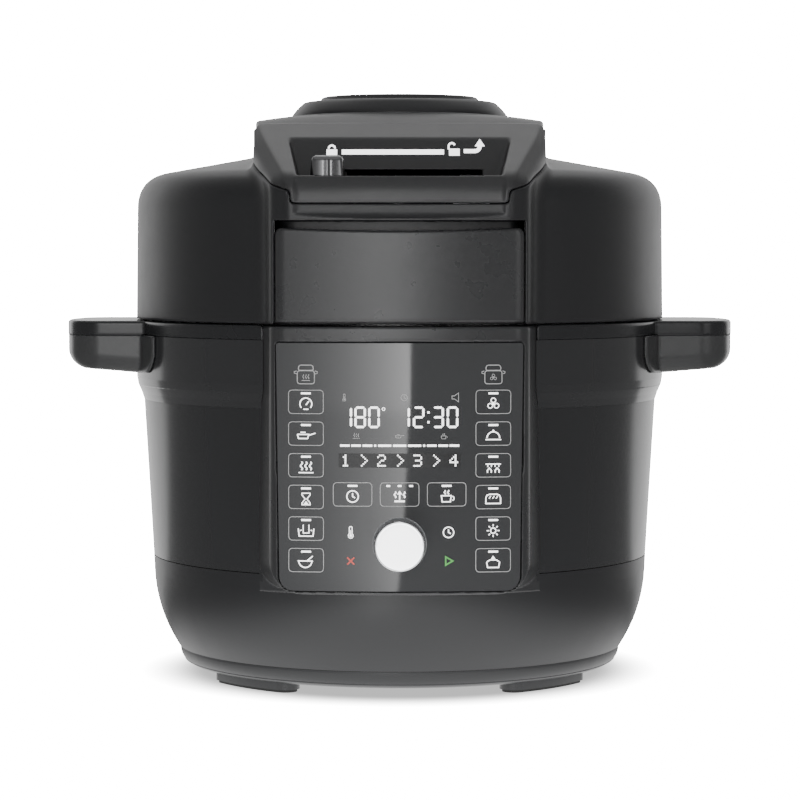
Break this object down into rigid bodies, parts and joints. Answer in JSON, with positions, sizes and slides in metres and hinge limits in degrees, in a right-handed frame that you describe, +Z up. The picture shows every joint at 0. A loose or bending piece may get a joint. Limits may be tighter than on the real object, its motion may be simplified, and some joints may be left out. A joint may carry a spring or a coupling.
{
  "type": "electric pressure cooker",
  "caption": "Round countertop pressure cooker with side handles, a front touch panel and dial, and a rear-hinged lid that holds a sliding latch, a lock ring, a fan and a heating coil.",
  "frame": {"origin": "on the floor, on the axis of the cooking pot", "axes": "+Z up, -Y towards the user, +X to the user's right"},
  "size_m": [0.388, 0.3505, 0.3362],
  "materials": {
    "cover_plastic": "fine matt grain",
    "panel_plastic": "smooth satin",
    "coated_steel": "satin charcoal coating",
    "touch_glass": "high gloss, smoked",
    "grip_plastic": "matt",
    "metal_trim": "satin",
    "chrome_trim": "polished",
    "dial_white": "smooth satin",
    "pot_steel": "brushed inside and out",
    "pressed_steel": "plain pressed sheet",
    "cast_aluminium": "as cast, machined top",
    "element_sheath": "heat darkened",
    "seal_silicone": "translucent white silicone",
    "foot_rubber": "matt",
    "board_green": "solder mask",
    "module_white": "matt",
    "cup_clear": "clear",
    "motor_steel": "plated",
    "fan_aluminium": "pressed",
    "black_plastic": "matt"
  },
  "bodies": {
    "base": {"base_skirt": "cover_plastic", "foot_pads": "foot_rubber", "lower_shell": "cover_plastic", "steel_sleeve": "coated_steel", "upper_belt": "cover_plastic", "rim_collar": "cover_plastic", "right_grip": "grip_plastic", "left_grip": "grip_plastic", "control_fascia": "panel_plastic", "touch_panel": "touch_glass", "control_board": "board_green", "board_screws": "metal_trim", "display_module": "module_white", "dial_encoder": "black_plastic", "heating_vessel": "pressed_steel", "lug_ring": "pot_steel", "heater_plate": "cast_aluminium", "heater_element": "element_sheath", "sensor_seat": "pressed_steel", "sensor_spring": "metal_trim", "cooking_pot": "pot_steel", "rear_spine": "cover_plastic", "power_inlet": "black_plastic", "inlet_pins": "metal_trim", "inlet_screws": "metal_trim", "hinge_bracket": "pressed_steel", "hinge_pin": "metal_trim", "hinge_springs": "metal_trim", "power_board": "board_green", "tray_screws": "metal_trim"},
    "lid": {"lid_shell": "cover_plastic", "lid_front_cover": "panel_plastic", "latch_bezel": "cover_plastic", "top_cap": "cover_plastic", "cap_disc": "touch_glass", "lid_frame": "black_plastic", "lid_screws": "metal_trim", "inner_dome": "pot_steel", "sealing_ring": "seal_silicone", "heating_coil": "element_sheath", "element_guard": "pressed_steel", "fan_motor": "motor_steel", "lid_knuckles": "pressed_steel", "release_pipe": "pressed_steel", "solenoid": "motor_steel"},
    "latch": {"latch_carriage": "black_plastic", "latch_knob": "metal_trim"},
    "locking_ring": {"lock_ring": "pressed_steel"},
    "fan_rotor": {"rotor_shaft": "metal_trim", "hot_air_fan": "fan_aluminium", "cooling_fan": "black_plastic"},
    "float": {"float_valve": "metal_trim"},
    "release": {"release_weight": "black_plastic"},
    "dial_contact": {"dial_plunger": "black_plastic"},
    "dial": {"dial_shaft": "metal_trim", "dial_knob": "dial_white", "dial_ring": "chrome_trim"},
    "sensor": {"sensor_button": "cast_aluminium"},
    "cup": {"drip_cup": "cup_clear"},
    "vent": {"vent_cover": "grip_plastic"}
  },
  "joints": [
    {"name": "lid_hinge", "type": "hinge", "parent": "base", "child": "lid", "pos_m": [0, 0.166, 0.2125], "axis": [-1, 0, 0], "range_deg": [0, 85]},
    {"name": "latch_slide", "type": "slide", "parent": "lid", "child": "latch", "axis": [1, 0, 0], "range_m": [0, 0.078]},
    {"name": "lock_ring_turn", "type": "hinge", "parent": "lid", "child": "locking_ring", "pos_m": [0, 0, 0.2], "axis": [0, 0, 1], "range_deg": [0, 38.9]},
    {"name": "fan_spin", "type": "hinge", "parent": "lid", "child": "fan_rotor", "pos_m": [0, 0, 0.26], "axis": [0, 0, 1], "continuous": true},
    {"name": "float_valve_rise", "type": "slide", "parent": "lid", "child": "float", "axis": [0, 0, 1], "range_m": [0, 0.005]},
    {"name": "release_valve_lift", "type": "slide", "parent": "lid", "child": "release", "axis": [0, 0, 1], "range_m": [0, 0.003]},
    {"name": "dial_press", "type": "slide", "parent": "base", "child": "dial_contact", "axis": [0, 1, 0], "range_m": [0, 0.0015], "stiffness_N_per_m": 1500, "springref_m": -0.001},
    {"name": "dial_turn", "type": "hinge", "parent": "dial_contact", "child": "dial", "pos_m": [0, -0.165, 0.089], "axis": [0, 1, 0], "continuous": true},
    {"name": "sensor_press", "type": "slide", "parent": "base", "child": "sensor", "axis": [0, 0, -1], "range_m": [0, 0.002], "stiffness_N_per_m": 1500, "springref_m": -0.002, "deforming": ["sensor_spring"]},
    {"name": "drip_cup_slide", "type": "slide", "parent": "base", "child": "cup", "axis": [0, 1, 0], "range_m": [0, 0.04]},
    {"name": "vent_lift", "type": "slide", "parent": "lid", "child": "vent", "axis": [0, 0, 1], "range_m": [0, 0.02]}
  ],
  "couplings": [
    {"joint": "lock_ring_turn", "follows": "latch_slide", "rad_per_m": 8.5919}
  ]
}
